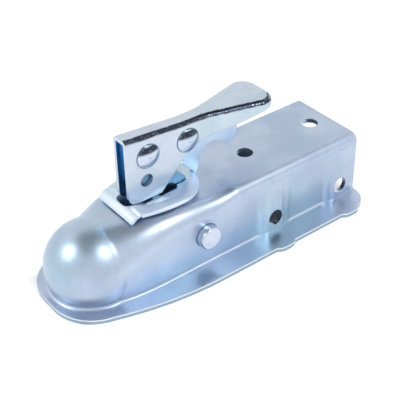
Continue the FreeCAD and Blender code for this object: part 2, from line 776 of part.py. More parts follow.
def make_clamp_spring():
    """Compression spring on the stud, from the clamp's web up to the washer under the roof."""
    spring = doc.addObject("Part::Feature", "clamp_spring")
    wire = number("spring_wire")
    low = number("clamp_web_top")
    high = number("roof - sheet - washer_thick")
    coil = number("spring_coil")
    helix = Part.makeHelix((high - low - wire) / number("spring_turns"), high - low - wire, coil)
    path = Part.Wire(helix.Edges)
    start = path.Edges[0].valueAt(path.Edges[0].FirstParameter)
    way = path.Edges[0].tangentAt(path.Edges[0].FirstParameter)
    round_wire = Part.Wire([Part.makeCircle(wire / 2, start, way)])
    spring.Shape = path.makePipeShell([round_wire], True, True)
    spring.Placement = FreeCAD.Placement(
        FreeCAD.Vector(number("link_rivet_x"), 0, low + wire / 2), FreeCAD.Rotation())
    PARTS["clamp_spring"] = spring


def make_trigger_spring():
    """Return spring coil round the trigger rivet, beside the trigger plate."""
    spring = doc.addObject("Part::Torus", "trigger_spring")
    spring.Placement = FreeCAD.Placement(FreeCAD.Vector(), FreeCAD.Rotation(FreeCAD.Vector(1, 0, 0), -90))
    bind(spring, "Radius1", "rivet_shank + 2 * trigger_wire")
    bind(spring, "Radius2", "trigger_wire")
    bind(spring, "Placement.Base.x", "trigger_rivet_x")
    bind(spring, "Placement.Base.y", "trigger_thick / 2 + trigger_wire + clearance / 2")
    bind(spring, "Placement.Base.z", "trigger_rivet_z")
    PARTS["trigger_spring"] = spring


make_housing()
make_saddle()
make_lever()
make_draw_link()
make_nut()
make_trigger()
make_clamp()
make_clamp_spring()
make_trigger_spring()
wall = "(lever_gap_half + lever_sheet)"
domed = ("rivet_head", "rivet_rise", "rivet_edge")
make_rivet("lever_pivot_rivet", ("link_rivet_x", "link_rivet_z"), "rivet_shank", domed, domed, wall)
make_rivet("trigger_pivot_rivet", ("trigger_rivet_x", "trigger_rivet_z"), "rivet_shank", domed, domed, wall)
make_rivet("clamp_pin", ("pin_x", "pin_z"), "pin_radius", ("pin_head", "pin_rise", "pin_edge", "pin_face"),
           ("pin_peen", "rivet_rise", "rivet_edge"), "channel_half")
shim = "(lever_gap_half - link_thick / 2 - 2 * shim_play)"
make_disc("link_washer_near", ("link_rivet_x", "-(lever_gap_half - shim_play)", "link_rivet_z"), "Y",
          "shim_radius", "rivet_shank + rivet_fit", shim)
make_disc("link_washer_far", ("link_rivet_x", "link_thick / 2 + shim_play", "link_rivet_z"), "Y",
          "shim_radius", "rivet_shank + rivet_fit", shim)
make_disc("trigger_spacer", ("trigger_rivet_x", "-(lever_gap_half - shim_play)", "trigger_rivet_z"), "Y",
          "shim_radius", "rivet_shank + rivet_fit", "lever_gap_half - trigger_thick / 2 - 2 * shim_play")
make_disc("spring_washer", ("link_rivet_x", "0", "roof - sheet - washer_thick"), "Z", "spring_washer_radius",
          "stud_radius + 3 * clearance", "washer_thick")
washer_low = "clamp_web_top - clamp_sheet - washer_thick"
make_disc("nut_washer", ("link_rivet_x", "0", washer_low), "Z", "washer_radius",
          "stud_radius + rivet_fit", "washer_thick")
make_disc("nut_insert", ("link_rivet_x", "0", washer_low + " - nut_thick - insert_rise"), "Z",
          "nut_flats_half - 2 * clearance", "stud_radius + rivet_fit", "insert_rise")

doc.recompute()
for thing in doc.Objects:
    if "Invalid" in thing.State or "Error" in thing.State:
        raise RuntimeError("%s did not build: %s" % (thing.Name, thing.State))
os.makedirs("parts", exist_ok=True)
for name, thing in PARTS.items():
    shape = thing.Shape
    if shape.isNull() or not shape.isValid() or shape.Volume <= 0:
        raise RuntimeError("%s has no valid shape" % name)
    shape.exportStep("parts/%s.step" % name)
    box = shape.BoundBox
    print("%-20s %8.0f mm3  x %.1f %.1f  y %.1f %.1f  z %.1f %.1f  solids %d" % (
        name, shape.Volume, box.XMin, box.XMax, box.YMin, box.YMax, box.ZMin, box.ZMax, len(shape.Solids)))
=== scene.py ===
# %% [markdown]
# A trailer coupling head in bright zinc plate, dressed for the camera.
# The solids come from the frame: every shell, lever and pin is already in place, in metres.
# This file gives them their skin, adds the wire and the screw thread that solids leave out,
# and sets the floor, the lamps and the camera.

# %% Frame and tools
import math
import bpy
import numpy as np
from mathutils import Matrix, Vector


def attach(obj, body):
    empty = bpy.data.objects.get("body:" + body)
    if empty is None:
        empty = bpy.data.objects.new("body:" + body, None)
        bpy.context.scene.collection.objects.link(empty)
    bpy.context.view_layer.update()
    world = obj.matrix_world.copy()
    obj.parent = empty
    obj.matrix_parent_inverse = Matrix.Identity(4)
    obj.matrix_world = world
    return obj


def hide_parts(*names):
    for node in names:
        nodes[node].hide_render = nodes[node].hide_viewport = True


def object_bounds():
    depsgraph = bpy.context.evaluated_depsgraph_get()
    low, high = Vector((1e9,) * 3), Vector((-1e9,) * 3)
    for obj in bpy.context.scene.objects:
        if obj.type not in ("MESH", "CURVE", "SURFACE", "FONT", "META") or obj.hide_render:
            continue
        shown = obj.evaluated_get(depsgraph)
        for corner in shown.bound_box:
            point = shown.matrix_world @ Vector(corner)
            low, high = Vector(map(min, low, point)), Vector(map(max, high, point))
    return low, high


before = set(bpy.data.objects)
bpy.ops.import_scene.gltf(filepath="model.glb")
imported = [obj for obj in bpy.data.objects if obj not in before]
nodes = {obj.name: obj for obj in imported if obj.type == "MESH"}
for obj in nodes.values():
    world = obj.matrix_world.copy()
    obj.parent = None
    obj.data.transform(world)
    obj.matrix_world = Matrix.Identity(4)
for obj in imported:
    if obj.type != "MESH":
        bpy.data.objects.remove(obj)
cad_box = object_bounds()
MM = 0.001
print("nodes:", sorted(nodes))

# %% [markdown]
# The camera stands to the left of the near side and looks down on the coupler.
# Its angles were measured from straight edges of the object, so they are written as plain values:
# a turn about the vertical, a tilt, a small roll, a distance and a lens.
# A product shot like this one uses a long lens, so the sides stay nearly parallel.

# %% Camera
TURN = math.radians(-36.85)
TILT = math.radians(36.48)
ROLL = math.radians(-1.3)
DISTANCE = 590.73 * MM
SHIFT_RIGHT = -9.76 * MM
SHIFT_UP = 2.14 * MM
AIM = Vector((90 * MM, 0, 0))
FRAME_PX = 400
LENS_PX = 965.59
SENSOR = 36.0


def camera_axes():
    """Right, up and back of the camera: the level axes, then turned about back by the roll."""
    back = Vector((math.sin(TURN) * math.cos(TILT), -math.cos(TURN) * math.cos(TILT), math.sin(TILT)))
    right = Vector((math.cos(TURN), math.sin(TURN), 0))
    up = back.cross(right)
    rolled_right = right * math.cos(ROLL) + up * math.sin(ROLL)
    rolled_up = up * math.cos(ROLL) - right * math.sin(ROLL)
    return rolled_right, rolled_up, back


RIGHT, UP, BACK = camera_axes()
EYE = AIM + RIGHT * SHIFT_RIGHT + UP * SHIFT_UP + BACK * DISTANCE
lens = bpy.data.cameras.new("camera")
lens.sensor_width = SENSOR
lens.lens = SENSOR * LENS_PX / FRAME_PX
lens.clip_start = 0.01
camera = bpy.data.objects.new("camera", lens)
camera.matrix_world = Matrix.Translation(EYE) @ Matrix((RIGHT, UP, BACK)).transposed().to_4x4()
bpy.context.scene.collection.objects.link(camera)
bpy.context.scene.camera = camera
bpy.context.scene.view_settings.view_transform = "Standard"
print("camera at", [round(value, 3) for value in EYE])

# %% [markdown]
# The photograph's highlights tell where its lamps stood. A highlight on a round dome is a mirror:
# the ray from the lens hits the dome, and leaves it at the same angle on the other side.
# Each lamp below is put on such a mirrored ray, so its highlight falls where the picture has it.

# %% Lamps
DOME_RADIUS = 27.3 * MM
LAMP_AWAY = 0.9


def mirrored_ray(across_px, down_px):
    """Point on the dome seen at a pixel, and the direction in which it mirrors that pixel's ray."""
    half = FRAME_PX / 2
    ray = (RIGHT * (across_px - half) + UP * (half - down_px) - BACK * LENS_PX).normalized()
    along = -EYE.dot(ray)
    miss = (EYE + ray * along).length
    point = EYE + ray * (along - math.sqrt(max(DOME_RADIUS ** 2 - miss ** 2, 0)))
    normal = point.normalized()
    return point, ray - normal * (2 * ray.dot(normal))


def lamp(name, highlight, size, power):
    """Round soft lamp on the mirrored ray of a highlight, facing the dome."""
    point, way = mirrored_ray(*highlight)
    light = bpy.data.lights.new(name, "AREA")
    light.shape = "DISK"
    light.size = size
    light.energy = power
    thing = bpy.data.objects.new(name, light)
    turned = way.to_track_quat("Z", "Y").to_matrix().to_4x4()
    thing.matrix_world = Matrix.Translation(point + way * LAMP_AWAY) @ turned
    bpy.context.scene.collection.objects.link(thing)
    print(name, [round(value, 2) for value in thing.location])


lamp("left_lamp", (69, 252), 0.34, 2.0)
lamp("right_lamp", (104, 252), 0.34, 2.0)
lamp("top_lamp", (122, 236), 0.5, 1.3)

# %% [markdown]
# Node trees are long to write out by hand. A few helpers keep them readable: one adds a node and sets
# it by the names of its sockets, and the others each stand for one small step of arithmetic.

# %% Node helpers


def add(tree, kind, **values):
    """Node with its settings and socket values by name."""
    node = tree.nodes.new(kind)
    for name, value in values.items():
        if hasattr(node, name):
            setattr(node, name, value)
        else:
            node.inputs[name.replace("_", " ")].default_value = value
    return node


def counted(tree, operation, first, second=0):
    """Math node on two sockets or numbers."""
    node = add(tree, "ShaderNodeMath", operation=operation)
    for index, value in enumerate((first, second)):
        if isinstance(value, (int, float)):
            node.inputs[index].default_value = value
        else:
            tree.links.new(value, node.inputs[index])
    return node.outputs[0]


def product(tree, *values):
    """All the values multiplied."""
    total = values[0]
    for value in values[1:]:
        total = counted(tree, "MULTIPLY", total, value)
    return total


def largest(tree, *values):
    """The largest of the values."""
    total = values[0]
    for value in values[1:]:
        total = counted(tree, "MAXIMUM", total, value)
    return total


def apart(tree, value, place):
    """How far a value lies from a place, whichever way."""
    return counted(tree, "ABSOLUTE", counted(tree, "SUBTRACT", value, place))


def ramp(tree, value, low, high):
    """Value taken from low..high to 0..1, eased."""
    node = add(tree, "ShaderNodeMapRange", interpolation_type="SMOOTHSTEP", From_Min=low, From_Max=high)
    tree.links.new(value, node.inputs["Value"])
    return node.outputs["Result"]


def mixed(tree, factor, first, second, blend="MIX"):
    """Colour mix of two sockets or colours by a factor."""
    node = add(tree, "ShaderNodeMix", data_type="RGBA", blend_type=blend)
    if isinstance(factor, float):
        node.inputs[0].default_value = factor
    else:
        tree.links.new(factor, node.inputs[0])
    for socket, value in ((node.inputs[6], first), (node.inputs[7], second)):
        if isinstance(value, tuple):
            socket.default_value = value
        else:
            tree.links.new(value, socket)
    return node.outputs[2]


def split(tree, vector):
    """The X, Y and Z of a vector, as sockets by name."""
    node = tree.nodes.new("ShaderNodeSeparateXYZ")
    tree.links.new(vector, node.inputs[0])
    return node.outputs


def length_of(tree, vector):
    """Length of a vector."""
    node = add(tree, "ShaderNodeVectorMath", operation="LENGTH")
    tree.links.new(vector, node.inputs[0])
    return node.outputs["Value"]


def seen_ray(tree):
    """One for what the camera sees, straight or by a mirror or glass, and zero for light on dull surfaces."""
    rays = tree.nodes.new("ShaderNodeLightPath").outputs
    return largest(tree, rays["Is Camera Ray"], rays["Is Glossy Ray"], rays["Is Transmission Ray"])


# %% [markdown]
# The surroundings are a white room with a dim ceiling. Metal shows what is around it, so mirrored rays
# see the same white walls as the camera; the dim ceiling darkens each bend a little, and the broad dark line
# on the lever's bends and on the rivet domes is a painted reflection.
# The light that falls on dull surfaces is softer and even. The paper under the shell is toned down, so
# that the holes and the open end show the shade inside.

# %% World and floor
BACKGROUND = 1.0
ROOM_LIGHT = 0.55
CEILING = 0.3
CEILING_FROM = 0.78
CEILING_TO = 0.92
FLOOR_GLOW = 0.45
PAPER_TONE = (0.92, 0.92, 0.93, 1)
PAPER_ROUGH = 0.9
SHADE_UNDER_SHELL = (0.04, 0.09, 0.17, 1)
COVERED_SHARE = 0.05
COVERED_MIDDLE = 74 * MM
COVERED_LONG = 96 * MM
COVERED_WIDE = 26 * MM
COVERED_FADE = 8 * MM
LONG_FADE_SHARE = 0.35


def white_world():
    """World: white where the camera or a mirrored ray looks, a softer grey elsewhere, and dim overhead."""
    world = bpy.data.worlds.new("room")
    world.use_nodes = True
    tree = world.node_tree
    shade = tree.nodes["Background"]
    strength = add(tree, "ShaderNodeMapRange", To_Min=ROOM_LIGHT, To_Max=BACKGROUND)
    tree.links.new(seen_ray(tree), strength.inputs["Value"])
    height = split(tree, tree.nodes.new("ShaderNodeTexCoord").outputs["Generated"])["Z"]
    ceiling = add(tree, "ShaderNodeMapRange", interpolation_type="SMOOTHSTEP", From_Min=CEILING_FROM,
                  From_Max=CEILING_TO, To_Min=1.0, To_Max=CEILING)
    tree.links.new(height, ceiling.inputs["Value"])
    dimmed = product(tree, strength.outputs["Result"], ceiling.outputs["Result"])
    tree.links.new(dimmed, shade.inputs["Strength"])
    shade.inputs["Color"].default_value = (1, 1, 1, 1)
    bpy.context.scene.world = world


def floor_material():
    """Pale paper that keeps the shadow: lifted to white by a little glow, but not under the shell, where a
    dark blue shade is painted.
    """
    paper = bpy.data.materials.new("paper_floor")
    paper.use_nodes = True
    tree = paper.node_tree
    shade = tree.nodes["Principled BSDF"]
    shade.inputs["Roughness"].default_value = PAPER_ROUGH
    place = split(tree, tree.nodes.new("ShaderNodeTexCoord").outputs["Object"])
    outside = []
    for axis, middle, reach, share in (("X", COVERED_MIDDLE, COVERED_LONG, LONG_FADE_SHARE),
                                       ("Y", 0.0, COVERED_WIDE, 1.0)):
        away = apart(tree, place[axis], middle)
        outside.append(product(tree, counted(tree, "SUBTRACT", away, reach), share))
    open_floor = add(tree, "ShaderNodeMapRange", interpolation_type="SMOOTHSTEP", From_Min=-COVERED_FADE,
                     From_Max=COVERED_FADE / 2, To_Min=COVERED_SHARE)
    tree.links.new(largest(tree, *outside), open_floor.inputs["Value"])
    opened = open_floor.outputs["Result"]
    # painted shade under the shell
    tree.links.new(mixed(tree, opened, SHADE_UNDER_SHELL, PAPER_TONE), shade.inputs["Base Color"])
    shade.inputs["Emission Color"].default_value = (1, 1, 1, 1)
    tree.links.new(product(tree, seen_ray(tree), FLOOR_GLOW, opened), shade.inputs["Emission Strength"])
    return paper


white_world()
FLOOR_HALF = 3.0
FLOOR_LEVEL = cad_box[0][2]
corners = [(x * FLOOR_HALF, y * FLOOR_HALF, FLOOR_LEVEL) for x, y in ((-1, -1), (1, -1), (1, 1), (-1, 1))]
floor_mesh = bpy.data.meshes.new("floor")
floor_mesh.from_pydata(corners, [], [(0, 1, 2, 3)])
floor_mesh.materials.append(floor_material())
floor = bpy.data.objects.new("floor", floor_mesh)
bpy.context.scene.collection.objects.link(floor)

# %% [markdown]
# Bright zinc is not one colour. The plating bath leaves soft clouds of paler and bluer metal, the rolled
# sheet under it has a fine grain, and handling dulls it in small spots. Each of these is a node group:
# it is built once, and each steel piece places it with its own values.

# %% Group helpers and tones


def new_group(name, inputs, outputs):
    """Empty shader group with (name, kind, value) inputs and (name, kind) outputs."""
    group = bpy.data.node_groups.new(name, "ShaderNodeTree")
    for label, kind, value in inputs:
        socket = group.interface.new_socket(label, in_out="INPUT", socket_type=kind)
        if value is not None:
            socket.default_value = value
    for label, kind in outputs:
        group.interface.new_socket(label, in_out="OUTPUT", socket_type=kind)
    return group, group.nodes.new("NodeGroupInput"), group.nodes.new("NodeGroupOutput")


def noise(tree, vector, **values):
    """Value of a noise texture over a vector."""
    node = add(tree, "ShaderNodeTexNoise", **values)
    tree.links.new(vector, node.inputs["Vector"])
    return node.outputs["Fac"]


def scaled(tree, vector, stretch):
    """The vector times a stretch for each axis."""
    node = add(tree, "ShaderNodeMapping", Scale=stretch)
    tree.links.new(vector, node.inputs["Vector"])
    return node.outputs["Vector"]


def edge_ramp(tree, value, edge, width):
    """Step of the value at an edge socket, spread over a width: rising, or falling where that is negative."""
    past = counted(tree, "DIVIDE", counted(tree, "SUBTRACT", value, edge), width)
    return ramp(tree, past, -0.5, 0.5)


WASH_CYAN = (0.94, 1.0, 0.995, 1)
WASH_VIOLET = (1.0, 0.975, 1.01, 1)
SHADE_BLUE = (0.09, 0.18, 0.28, 1)
LEVER_SHADE_BLUE = (0.34, 0.64, 0.88, 1)
DARK_REFLECTION_TONE = (0.035, 0.045, 0.07, 1)
RIM_DEEP = (0.30, 0.41, 0.52, 1)
RIM_HIGHLIGHT = (0.86, 0.85, 0.82, 1)
NYLON_DEEP = (0.02, 0.05, 0.18, 1)
NYLON_PALE = (0.05, 0.10, 0.28, 1)


# %% Plating clouds
def plating_group():
    """Zinc plate: clouds mix a pale and a deep tone, the wash tints them, and small spots dull them."""
    group, given, made = new_group(
        "zinc_clouds",
        [("Vector", "NodeSocketVector", None), ("Pale", "NodeSocketColor", (0.6, 0.66, 0.74, 1)),
         ("Deep", "NodeSocketColor", (0.36, 0.46, 0.6, 1)), ("Smooth", "NodeSocketFloat", 0.22),
         ("Dull", "NodeSocketFloat", 0.4)],
        [("Color", "NodeSocketColor"), ("Roughness", "NodeSocketFloat")])
    vector = given.outputs["Vector"]
    broad = noise(group, vector, Scale=38.0, Detail=3.0, Roughness=0.5)
    small = noise(group, vector, Scale=420.0, Detail=4.0, Roughness=0.6)
    wash = noise(group, vector, Scale=17.0, Detail=2.0)
    cells = add(group, "ShaderNodeTexVoronoi", Scale=260.0)
    group.links.new(vector, cells.inputs["Vector"])
    spots = cells.outputs["Distance"]
    both = counted(group, "ADD", product(group, broad, 0.75), product(group, small, 0.25))
    plate = mixed(group, ramp(group, both, 0.38, 0.64), given.outputs["Deep"], given.outputs["Pale"])
    tint = mixed(group, ramp(group, wash, 0.4, 0.6), WASH_CYAN, WASH_VIOLET)
    group.links.new(mixed(group, 1.0, plate, tint, blend="MULTIPLY"), made.inputs["Color"])
    freckle = product(group, ramp(group, spots, 0.16, 0.05), ramp(group, small, 0.52, 0.62), 0.7)
    worn = largest(group, freckle, product(group, ramp(group, broad, 0.62, 0.4), 0.5))
    rough = group.nodes.new("ShaderNodeMix")
    group.links.new(worn, rough.inputs[0])
    group.links.new(given.outputs["Smooth"], rough.inputs[2])
    group.links.new(given.outputs["Dull"], rough.inputs[3])
    group.links.new(rough.outputs[0], made.inputs["Roughness"])
    return group


# %% Rolled grain
ROLLED_LONG = (0.35, 1.0, 1.0)


def grain_group():
    """Sheet steel under the plate: fine pits, and long faint waves along the rolling way."""
    group, given, made = new_group(
        "rolled_grain", [("Vector", "NodeSocketVector", None), ("Pits", "NodeSocketFloat", 1.0),
                         ("Waves", "NodeSocketFloat", 1.0)], [("Height", "NodeSocketFloat")])
    vector = given.outputs["Vector"]
    pits = noise(group, vector, Scale=1500.0, Detail=2.0)
    waves = noise(group, scaled(group, vector, ROLLED_LONG), Scale=60.0, Detail=2.0)
    height = counted(group, "ADD", product(group, pits, given.outputs["Pits"]),
                     product(group, waves, given.outputs["Waves"]))
    group.links.new(height, made.inputs["Height"])
    return group


# %% Painted dark reflection on bends
FAR_START = 0.57
STREAK_STRETCH = (0.09, 1.0, 1.0)
RAGGED_EDGE = 0.35
FLECK_SHARE = 0.6


def dark_reflection_group():
    """Painted dark reflection on a bend, laid by the way the surface faces: all of a near bend, and
    the lower half of a far one, with streaks along the bend."""
    group, given, made = new_group(
        "painted_dark_reflection",
        [("Vector", "NodeSocketVector", None), ("Normal", "NodeSocketVector", None),
         ("Color", "NodeSocketColor", (0.6, 0.6, 0.6, 1)), ("Low", "NodeSocketFloat", 0.12),
         ("High", "NodeSocketFloat", 0.8), ("Rise", "NodeSocketFloat", 0.3), ("Top", "NodeSocketFloat", 2.0)],
        [("Color", "NodeSocketColor")])
    vector = given.outputs["Vector"]
    facing = split(group, given.outputs["Normal"])
    streaks = noise(group, scaled(group, vector, STREAK_STRETCH), Scale=900.0, Detail=4.0, Roughness=0.65)
    flecks = noise(group, vector, Scale=1400.0, Detail=2.0)
    near_lean = product(group, facing["Y"], -1)
    far_lean = counted(group, "SUBTRACT", facing["Y"], FAR_START)
    ragged = product(group, counted(group, "SUBTRACT", streaks, 0.5), RAGGED_EDGE)
    lean = counted(group, "ADD", largest(group, near_lean, far_lean), ragged)
    within = product(group, edge_ramp(group, lean, given.outputs["Low"], 0.12),
                     edge_ramp(group, lean, given.outputs["High"], -0.12))
    upward = product(group, edge_ramp(group, facing["Z"], given.outputs["Rise"], 0.12),
                     edge_ramp(group, facing["Z"], given.outputs["Top"], -0.06))
    dark = counted(group, "SUBTRACT", 1.0, product(group, ramp(group, flecks, 0.6, 0.7), FLECK_SHARE))
    # painted reflection: a dark tone laid where a bend faces the dim ceiling
    mask = product(group, within, upward, dark)
    group.links.new(mixed(group, mask, given.outputs["Color"], DARK_REFLECTION_TONE), made.inputs["Color"])
    return group


ZINC = plating_group()
GRAIN = grain_group()
DARK_REFLECTION = dark_reflection_group()

# %% [markdown]
# A pressed edge is never razor sharp. Instead of cutting a bevel into every solid, the shading normal
# can be rounded near an edge: the Bevel node looks a short way round each point and averages what it
# finds. It costs a little time in the render and leaves the mesh alone.

# %% Steel finish
EDGE_ROUND = 0.45 * MM
STEP = 0.1 * MM
PIN_PLACE = (61.0 * MM, 7.5 * MM)
RIVET_PLACES = ((38.6 * MM, 59.8 * MM), (65.8 * MM, 59.0 * MM))
HEAD_RADIUS = 7.2 * MM
CONTACT_SHADE_SHARE = 0.85
CONTACT_SHADE_START = 0.3
CHANNEL_STATION = 84 * MM
NECK_STATION = 14 * MM
DOME_HOLLOW = 25.4 * MM
CHANNEL_HOLLOW = (25.7 * MM, 25.3 * MM)
NECK_HOLLOW = (22.3 * MM, 19.0 * MM)
LEVER_CEILING = 70.1 * MM
SIDE_HOLES = (112.5 * MM, 166.0 * MM)
SWELL_FROM = 9.5 * MM
SWELL_TO = 25 * MM
NECK_FROM, NECK_FULL = -9 * MM, -5 * MM
ROOF_FROM, ROOF_FULL = 18 * MM, 22 * MM
WALL_FROM, WALL_FULL = -8 * MM, -6 * MM
WALL_TOP_FULL, WALL_TOP = 19 * MM, 21 * MM
REAR_FULL, REAR_TO = 174 * MM, 176 * MM
BEND_SAMPLES = 8


def steel(name, pale, deep, smooth, dull, pits=1.0, waves=1.0):
    """Zinc plated steel: clouds for colour and gloss, grain for relief, soft edges. Returns its parts."""
    material = bpy.data.materials.new(name)
    material.use_nodes = True
    tree = material.node_tree
    shade = tree.nodes["Principled BSDF"]
    shade.inputs["Metallic"].default_value = 1.0
    coordinates = tree.nodes.new("ShaderNodeTexCoord")
    place = coordinates.outputs["Object"]
    clouds = add(tree, "ShaderNodeGroup", node_tree=ZINC)
    clouds.inputs["Pale"].default_value = pale
    clouds.inputs["Deep"].default_value = deep
    clouds.inputs["Smooth"].default_value = smooth
    clouds.inputs["Dull"].default_value = dull
    grain = add(tree, "ShaderNodeGroup", node_tree=GRAIN)
    grain.inputs["Pits"].default_value = pits
    grain.inputs["Waves"].default_value = waves
    for group in (clouds, grain):
        tree.links.new(place, group.inputs["Vector"])
    tree.links.new(clouds.outputs["Color"], shade.inputs["Base Color"])
    tree.links.new(clouds.outputs["Roughness"], shade.inputs["Roughness"])
    bevel = add(tree, "ShaderNodeBevel", samples=4, Radius=EDGE_ROUND)
    relief = add(tree, "ShaderNodeBump", Distance=0.02 * MM)
    tree.links.new(grain.outputs["Height"], relief.inputs["Height"])
    tree.links.new(bevel.outputs["Normal"], relief.inputs["Normal"])
    tree.links.new(relief.outputs["Normal"], shade.inputs["Normal"])
    return {"material": material, "tree": tree, "shade": shade, "place": place,
            "facing": coordinates.outputs["Normal"], "bevel": bevel}


def below(tree, value, limit):
    """One below a limit and zero above it, eased over a tenth of a millimetre."""
    return ramp(tree, value, limit, limit - STEP)


def above(tree, value, limit):
    """One above a limit and zero below it, eased over a tenth of a millimetre."""
    return ramp(tree, value, limit, limit + STEP)


def lay(parts, mask, tone):
    """Lays a tone over the colour of a steel finish where the mask says."""
    base = parts["shade"].inputs["Base Color"]
    parts["tree"].links.new(mixed(parts["tree"], mask, base.links[0].from_socket, tone), base)


def paint_dark_reflection(parts, low, high, rise, top):
    """Adds the painted dark reflection to a steel finish, between two leans to the side and two upward ones.
    """
    tree = parts["tree"]
    base = parts["shade"].inputs["Base Color"]
    bend = add(tree, "ShaderNodeGroup", node_tree=DARK_REFLECTION)
    for name, value in (("Low", low), ("High", high), ("Rise", rise), ("Top", top)):
        bend.inputs[name].default_value = value
    tree.links.new(parts["place"], bend.inputs["Vector"])
    tree.links.new(parts["facing"], bend.inputs["Normal"])
    tree.links.new(base.links[0].from_socket, bend.inputs["Color"])
    tree.links.new(bend.outputs["Color"], base)


def paint_lever_shade(parts, half, rear):
    """Painted shade: deeper blue between the lever's walls, ahead of a length and under its top."""
    tree = parts["tree"]
    where = split(tree, parts["place"])
    inward = below(tree, counted(tree, "ABSOLUTE", where["Y"]), half)
    ahead = product(tree, below(tree, where["X"], rear), below(tree, where["Z"], LEVER_CEILING + STEP))
    # painted shade between the lever's walls
    lay(parts, product(tree, inward, ahead), LEVER_SHADE_BLUE)


def cut_rim(parts, top, line_low):
    """Cut edge of the flange: deep blue upright faces, with a painted highlight along the top corner."""
    tree = parts["tree"]
    height = split(tree, parts["place"])["Z"]
    upright = ramp(tree, counted(tree, "ABSOLUTE", split(tree, parts["facing"])["Z"]), 0.3, 0.15)
    # painted highlight: a pale line along the top of the cut edge
    rim = mixed(tree, above(tree, height, line_low), RIM_DEEP, RIM_HIGHLIGHT)
    lay(parts, product(tree, upright, below(tree, height, top)), rim)


def paint_inner_shade(parts):
    """Painted shade: deep blue on the inner skin of the pressing, dome, channel and neck, each found by its
    own bounds.
    """
    tree = parts["tree"]
    where = split(tree, parts["place"])
    aside = counted(tree, "ABSOLUTE", where["Y"])
    masks = [below(tree, length_of(tree, parts["place"]), DOME_HOLLOW)]
    for start, (half, top) in ((CHANNEL_STATION, CHANNEL_HOLLOW), (NECK_STATION, NECK_HOLLOW)):
        masks.append(product(tree, above(tree, where["X"], start), below(tree, aside, half),
                             below(tree, where["Z"], top)))
    # painted shade on the inside of the shell
    lay(parts, largest(tree, *masks), SHADE_BLUE)


def paint_contact_shade(parts, centre, radius, width):
    """Painted contact shade: a dark blue line on the sheet round a head; centre as (x, z), the head's radius
    and the line's width.
    """
    tree = parts["tree"]
    where = split(tree, parts["place"])
    across = counted(tree, "POWER", counted(tree, "SUBTRACT", where["X"], centre[0]), 2)
    upward = counted(tree, "POWER", counted(tree, "SUBTRACT", where["Z"], centre[1]), 2)
    away = counted(tree, "SQRT", counted(tree, "ADD", across, upward))
    line = ramp(tree, away, radius + width, radius + CONTACT_SHADE_START * width)
    # painted shade where the head meets the sheet
    lay(parts, product(tree, line, CONTACT_SHADE_SHARE), SHADE_BLUE)


def blended(parts, soft):
    """Wider rounding of the shading where drawn forms run together: the dome into the neck, the roof at the
    start of the channel, and the flanks of the swellings round the side holes."""
    tree = parts["tree"]
    where = split(tree, parts["place"])
    edge = apart(tree, length_of(tree, parts["place"]), DOME_RADIUS)
    neck = product(tree, ramp(tree, edge, 1.6 * soft, 0.6 * soft),
                   ramp(tree, where["Z"], NECK_FROM, NECK_FULL))
    across = ramp(tree, apart(tree, where["X"], CHANNEL_STATION), 1.6 * soft, 0.8 * soft)
    roof = product(tree, across, ramp(tree, where["Z"], ROOF_FROM, ROOF_FULL))
    flanks = []
    for hole in SIDE_HOLES:
        away = apart(tree, where["X"], hole)
        flanks.append(product(tree, ramp(tree, away, SWELL_FROM, SWELL_FROM + MM),
                              ramp(tree, away, SWELL_TO, SWELL_TO - MM)))
    wall = product(tree, largest(tree, *flanks), ramp(tree, where["Z"], WALL_FROM, WALL_FULL),
                   ramp(tree, where["Z"], WALL_TOP, WALL_TOP_FULL),
                   ramp(tree, where["X"], REAR_TO, REAR_FULL))
    wider = product(tree, largest(tree, neck, roof, wall), soft - EDGE_ROUND)
    parts["bevel"].samples = BEND_SAMPLES
    tree.links.new(counted(tree, "ADD", wider, EDGE_ROUND), parts["bevel"].inputs["Radius"])


def dress(material, *names):
    """Gives each named node's slots this material."""
    for name in names:
        mesh = nodes[name].data
        if not mesh.materials:
            mesh.materials.append(material)
        for index in range(len(mesh.materials)):
            mesh.materials[index] = material


# %% Finishes of the pieces
shell = steel("pressed_shell", pale=(0.50, 0.60, 0.71, 1), deep=(0.42, 0.52, 0.64, 1), smooth=0.34, dull=0.42)
cut_rim(shell, top=-12.8 * MM, line_low=-13.6 * MM)
paint_inner_shade(shell)
# painted shade round the pin head
paint_contact_shade(shell, PIN_PLACE, HEAD_RADIUS, width=0.9 * MM)
blended(shell, soft=4 * MM)
dress(shell["material"], "coupler_housing")

saddle = steel("saddle_plate", pale=(0.84, 0.93, 1.0, 1), deep=(0.74, 0.85, 0.96, 1), smooth=0.36, dull=0.46)
saddle["shade"].inputs["Metallic"].default_value = 0.65
dress(saddle["material"], "latch_saddle")

handle = steel("lever_sheet", pale=(0.58, 0.65, 0.73, 1), deep=(0.49, 0.57, 0.66, 1), smooth=0.2, dull=0.3)
# painted dark reflection along the lever's bends
paint_dark_reflection(handle, low=0.1, high=0.9, rise=0.3, top=2.0)
paint_lever_shade(handle, half=3.95 * MM, rear=90 * MM)
# painted shade round the rivet heads
for place in RIVET_PLACES:
    paint_contact_shade(handle, place, HEAD_RADIUS, width=0.8 * MM)
dress(handle["material"], "lever_handle")

rivet = steel("pin_head", pale=(0.62, 0.70, 0.79, 1), deep=(0.50, 0.59, 0.69, 1), smooth=0.24, dull=0.32,
              pits=0.2, waves=0.3)
dress(rivet["material"], "clamp_pin")

dome = steel("rivet_dome", pale=(0.62, 0.70, 0.79, 1), deep=(0.50, 0.59, 0.69, 1), smooth=0.12, dull=0.2,
             pits=0.3)
# painted dark reflection on the rivet domes
paint_dark_reflection(dome, low=0.5, high=1.3, rise=0.16, top=0.4)
dress(dome["material"], "lever_pivot_rivet", "trigger_pivot_rivet")

hook = steel("trigger_plate", pale=(0.60, 0.70, 0.84, 1), deep=(0.50, 0.61, 0.77, 1), smooth=0.3, dull=0.4)
dress(hook["material"], "trigger")

